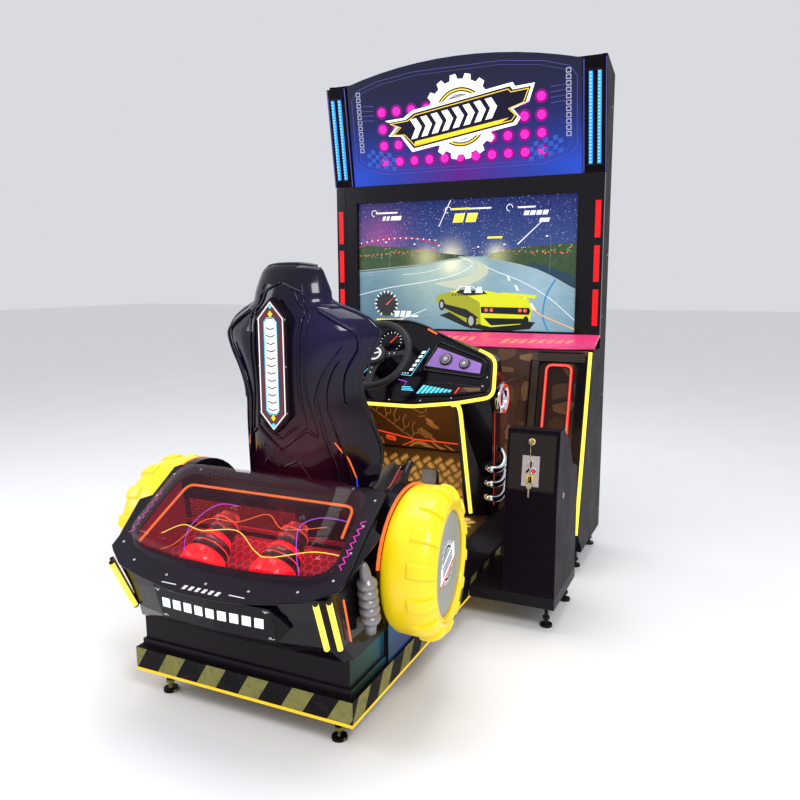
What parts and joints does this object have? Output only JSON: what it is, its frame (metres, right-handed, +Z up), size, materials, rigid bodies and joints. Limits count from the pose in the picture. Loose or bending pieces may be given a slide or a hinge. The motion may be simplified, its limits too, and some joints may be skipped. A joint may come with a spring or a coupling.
{
  "type": "sitdown racing cabinet",
  "caption": "Sit-down arcade driving cabinet with sliding bucket seat, steering wheel, pedals, lit tub with domed prop bay, tall screen cabinet and side coin box.",
  "frame": {"origin": "on the floor, under the middle of the overall box", "axes": "+X to the driver's right, +Y from the seat towards the screen, +Z up"},
  "size_m": [1.504, 2.2948, 2.4703],
  "materials": {
    "platform_board": "hazard printed",
    "light_yellow": "lit diffuser",
    "black_board": "satin black",
    "black_moulding": "gloss black",
    "deck_sheet": "purple black gloss",
    "dome_clear": "clear acrylic",
    "bay_red": "dark red hexagon print",
    "prop_red": "gloss red",
    "plate_dark": "dark plate",
    "wheel_yellow": "moulded yellow",
    "disc_grey": "satin grey",
    "pipe_grey": "grey moulding",
    "seat_soft": "black vinyl",
    "steel": "zinc",
    "frame_steel": "black paint",
    "chequer": "chequer plate",
    "print_brown": "printed board",
    "grip_black": "soft black",
    "panel_purple": "satin purple",
    "button_clear": "clear button",
    "pedal_steel": "ribbed",
    "trim_chrome": "chrome",
    "ledge_pink": "pink gloss",
    "screen": "display",
    "marquee": "backlit print",
    "coin_paint": "plum satin",
    "coin_chrome": "polished",
    "button_red": "gloss",
    "lock_brass": "polished"
  },
  "bodies": {
    "cabinet": {"base_platform": "platform_board", "base_light": "light_yellow", "pedestal": "black_board", "tub_shell": "black_moulding", "tail_light_right": "light_yellow", "tail_light_left": "light_yellow", "engine_deck": "deck_sheet", "dome_cover": "dome_clear", "bay_floor": "bay_red", "piston_pair": "prop_red", "rear_nameplate": "plate_dark", "tyre_right": "wheel_yellow", "tyre_left": "wheel_yellow", "wheel_disc_right": "disc_grey", "wheel_disc_left": "disc_grey", "exhaust_right": "pipe_grey", "exhaust_left": "pipe_grey", "seat_rails": "steel", "footwell_plate": "chequer", "dash_console": "black_moulding", "column_housing": "black_moulding", "button_panel": "panel_purple", "cheek_right": "black_board", "cheek_left": "black_board", "kick_panel": "print_brown", "cockpit_light": "light_yellow", "pedal_bracket": "frame_steel", "engine_trim_right": "trim_chrome", "engine_trim_left": "trim_chrome", "side_panel_right": "black_board", "side_panel_left": "black_board", "lower_panel": "print_brown", "ledge": "ledge_pink", "screen_bezel": "black_moulding", "monitor": "screen", "marquee_frame": "black_board", "marquee_panel": "marquee", "back_panel": "black_board", "cabinet_floor": "black_board", "grille_panel": "black_moulding", "coin_cabinet": "coin_paint", "coin_base": "frame_steel"},
    "seat": {"seat_shell": "black_moulding", "seat_cushion": "seat_soft", "seat_back_pad": "seat_soft", "seat_back_plate": "plate_dark", "seat_carriage": "frame_steel"},
    "slide_lever": {"seat_lever": "steel"},
    "steering": {"steering_wheel": "grip_black", "steering_shaft": "steel"},
    "accelerator": {"accelerator_pedal": "pedal_steel"},
    "brake": {"brake_pedal": "pedal_steel"},
    "start": {"start_button": "button_clear"},
    "view": {"view_button": "button_clear"},
    "coin_hatch": {"coin_door": "coin_paint", "coin_mech": "coin_chrome"},
    "coin_return": {"return_button": "button_red"},
    "hatch_lock": {"door_lock": "lock_brass"},
    "rear_hatch": {"service_door": "black_board"}
  },
  "joints": [
    {"name": "seat_slide", "type": "slide", "parent": "cabinet", "child": "seat", "axis": [0, 1, 0], "range_m": [0, 0.1]},
    {"name": "lever_lift", "type": "hinge", "parent": "seat", "child": "slide_lever", "pos_m": [-0.015, -0.25861, 0.44], "axis": [1, 0, 0], "range_deg": [0, 15], "stiffness_Nm_per_rad": 4, "springref_deg": -14.32},
    {"name": "steer", "type": "hinge", "parent": "cabinet", "child": "steering", "pos_m": [-0.015, -0.00561, 1.082], "axis": [0, -0.812, 0.5836], "range_deg": [-135, 135]},
    {"name": "accelerator_press", "type": "hinge", "parent": "cabinet", "child": "accelerator", "pos_m": [0.065, 0.38139, 0.376], "axis": [-1, 0, 0], "range_deg": [0, 18], "stiffness_Nm_per_rad": 12, "springref_deg": -11.46},
    {"name": "brake_press", "type": "hinge", "parent": "cabinet", "child": "brake", "pos_m": [-0.095, 0.38139, 0.376], "axis": [-1, 0, 0], "range_deg": [0, 14], "stiffness_Nm_per_rad": 25, "springref_deg": -8.59},
    {"name": "start_press", "type": "slide", "parent": "cabinet", "child": "start", "axis": [0, 0.8384, -0.545], "range_m": [0, 0.004], "stiffness_N_per_m": 500, "springref_m": -0.002},
    {"name": "view_press", "type": "slide", "parent": "cabinet", "child": "view", "axis": [0, 0.8384, -0.545], "range_m": [0, 0.004], "stiffness_N_per_m": 500, "springref_m": -0.002},
    {"name": "coin_door_swing", "type": "hinge", "parent": "cabinet", "child": "coin_hatch", "pos_m": [0.558, 0.02001, 0.6803], "axis": [0, -0.1476, -0.9891], "range_deg": [0, 100]},
    {"name": "coin_return_press", "type": "slide", "parent": "coin_hatch", "child": "coin_return", "axis": [0, 0.9891, -0.1476], "range_m": [0, 0.004], "stiffness_N_per_m": 300, "springref_m": -0.002},
    {"name": "door_lock_turn", "type": "hinge", "parent": "coin_hatch", "child": "hatch_lock", "pos_m": [0.645, 0.03452, 0.764], "axis": [0, -0.9891, 0.1476], "range_deg": [0, 90]},
    {"name": "service_door_swing", "type": "hinge", "parent": "cabinet", "child": "rear_hatch", "pos_m": [0.3035, 1.13839, 0.85], "axis": [0, 0, -1], "range_deg": [0, 110]}
  ]
}
